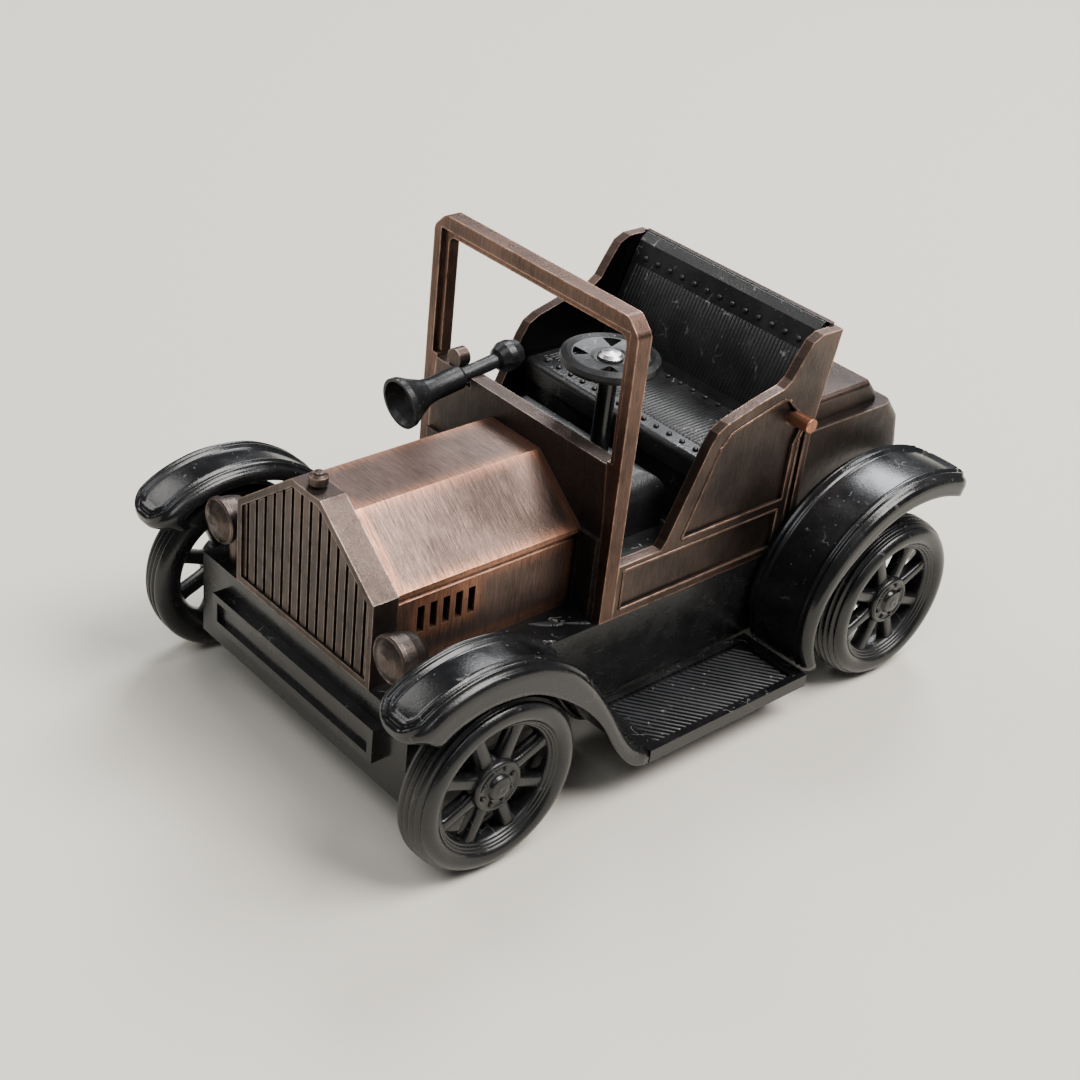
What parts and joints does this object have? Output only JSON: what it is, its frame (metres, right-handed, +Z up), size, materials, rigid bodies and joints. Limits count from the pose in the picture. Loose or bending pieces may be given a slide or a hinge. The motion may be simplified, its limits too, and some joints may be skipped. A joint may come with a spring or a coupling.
{
  "type": "miniature vintage car",
  "caption": "Miniature open vintage runabout with a copper-finished metal body, black plastic chassis and fenders, free-rolling spoked wheels and a turning steering wheel.",
  "frame": {"origin": "on the ground plane, on the car's centre plane, midway between the two axles", "axes": "+X to the driver's side (the car's left), the car faces -Y, +Z up"},
  "size_m": [0.0488, 0.0791, 0.049],
  "materials": {
    "copper_casting": "antique copper plating, brushed on the facets, dark in the recesses",
    "black_plastic": "black injection-moulded plastic, semi-gloss",
    "black_wheel_plastic": "black moulded plastic, satin",
    "plain_steel": "bright drawn steel"
  },
  "bodies": {
    "car": {"body_screws": "plain_steel", "bulb_horn": "black_plastic", "cabin_floor": "black_plastic", "chassis_tray": "black_plastic", "cowl_plate": "copper_casting", "fender_front_left": "black_plastic", "fender_front_right": "black_plastic", "fender_rear_left": "black_plastic", "fender_rear_right": "black_plastic", "headlight_left": "copper_casting", "headlight_right": "copper_casting", "hood": "copper_casting", "hood_prop_peg_left": "copper_casting", "hood_prop_peg_right": "copper_casting", "number_plate_bar": "black_plastic", "radiator_cap": "copper_casting", "radiator_grille": "copper_casting", "radiator_shell": "copper_casting", "rear_trunk": "copper_casting", "running_board_left": "black_plastic", "running_board_right": "black_plastic", "seat_back_pad": "black_plastic", "seat_back_shell": "copper_casting", "seat_base": "black_plastic", "seat_cushion": "black_plastic", "side_panel_left": "copper_casting", "side_panel_right": "copper_casting", "steering_column": "black_plastic", "steering_rivet": "plain_steel", "toe_board": "black_plastic", "trunk_lid": "copper_casting", "windshield_frame": "copper_casting"},
    "front_wheelset": {"axle_front": "plain_steel", "wheel_front_left": "black_wheel_plastic", "wheel_front_right": "black_wheel_plastic"},
    "rear_wheelset": {"axle_rear": "plain_steel", "wheel_rear_left": "black_wheel_plastic", "wheel_rear_right": "black_wheel_plastic"},
    "steering": {"steering_wheel": "black_plastic"}
  },
  "joints": [
    {"name": "front_axle_roll", "type": "hinge", "parent": "car", "child": "front_wheelset", "pos_m": [0, -0.0285, 0.0097], "axis": [1, 0, 0], "continuous": true},
    {"name": "rear_axle_roll", "type": "hinge", "parent": "car", "child": "rear_wheelset", "pos_m": [0, 0.0285, 0.0097], "axis": [1, 0, 0], "continuous": true},
    {"name": "steering_turn", "type": "hinge", "parent": "car", "child": "steering", "pos_m": [0.004, -0.0006, 0.0376], "axis": [0, 0, 1], "continuous": true}
  ]
}
